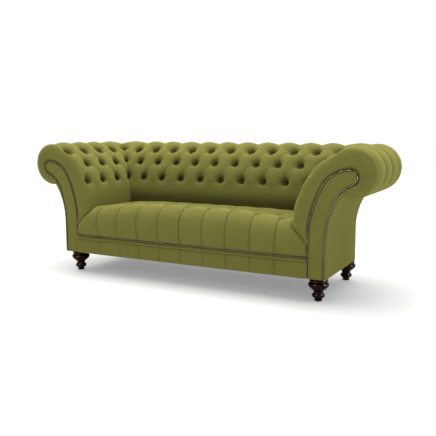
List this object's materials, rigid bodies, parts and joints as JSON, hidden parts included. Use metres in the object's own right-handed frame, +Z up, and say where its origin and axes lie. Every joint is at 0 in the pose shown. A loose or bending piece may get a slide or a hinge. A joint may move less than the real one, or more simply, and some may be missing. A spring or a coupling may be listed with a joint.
{
  "type": "sofa",
  "caption": "Deep-buttoned roll-arm sofa in velvet, arms as high as the back, nailed facings and border, turned wooden feet.",
  "frame": {"origin": "on the floor, under the middle of the overall box", "axes": "+X along the sofa towards the arm on the right of someone facing its front, +Y from the front to the back, +Z up"},
  "size_m": [2.246, 0.9232, 0.826],
  "materials": {
    "olive_velvet": "velvet pile",
    "dark_turned_wood": "dark gloss",
    "antique_nails": "antique, dark",
    "frame_timber": "sawn",
    "foam": "open-cell foam",
    "jute": "coarse weave",
    "black_lining": "matt",
    "steel": "plain"
  },
  "bodies": {
    "root": {"back_buttons": "olive_velvet", "back_end_boards": "frame_timber", "back_foam": "foam", "back_hessian": "jute", "back_inside_cover": "olive_velvet", "back_middle_boards": "frame_timber", "back_outside_cover": "olive_velvet", "back_stuffing_rail": "frame_timber", "back_tack_rail": "frame_timber", "back_top_rail": "frame_timber", "base_back_rail": "frame_timber", "base_cross_rails": "frame_timber", "base_front_rail": "frame_timber", "border_nails": "antique_nails", "border_welt": "olive_velvet", "dust_cover": "black_lining", "foot_bolts": "steel", "foot_nuts": "steel", "front_border": "olive_velvet", "front_foot_blocks": "frame_timber", "front_left_foot": "dark_turned_wood", "front_right_foot": "dark_turned_wood", "left_arm_buttons": "olive_velvet", "left_arm_facing": "olive_velvet", "left_arm_foam": "foam", "left_arm_hessian": "jute", "left_arm_inside_cover": "olive_velvet", "left_arm_outside_cover": "olive_velvet", "left_arm_rear_board": "frame_timber", "left_arm_stuffing_rail": "frame_timber", "left_arm_tack_rail": "frame_timber", "left_arm_top_rail": "frame_timber", "left_base_side_rail": "frame_timber", "left_facing_nails": "antique_nails", "left_scroll_board": "frame_timber", "rear_corner_blocks": "frame_timber", "rear_left_foot": "dark_turned_wood", "rear_right_foot": "dark_turned_wood", "right_arm_buttons": "olive_velvet", "right_arm_facing": "olive_velvet", "right_arm_foam": "foam", "right_arm_hessian": "jute", "right_arm_inside_cover": "olive_velvet", "right_arm_outside_cover": "olive_velvet", "right_arm_rear_board": "frame_timber", "right_arm_stuffing_rail": "frame_timber", "right_arm_tack_rail": "frame_timber", "right_arm_top_rail": "frame_timber", "right_base_side_rail": "frame_timber", "right_facing_nails": "antique_nails", "right_scroll_board": "frame_timber", "seat_buttons": "olive_velvet", "seat_cover": "olive_velvet", "seat_foam": "foam", "seat_hessian": "jute", "seat_springs": "steel", "spring_clips": "steel", "top_rail_corners": "frame_timber", "webbing": "jute"}
  },
  "joints": []
}
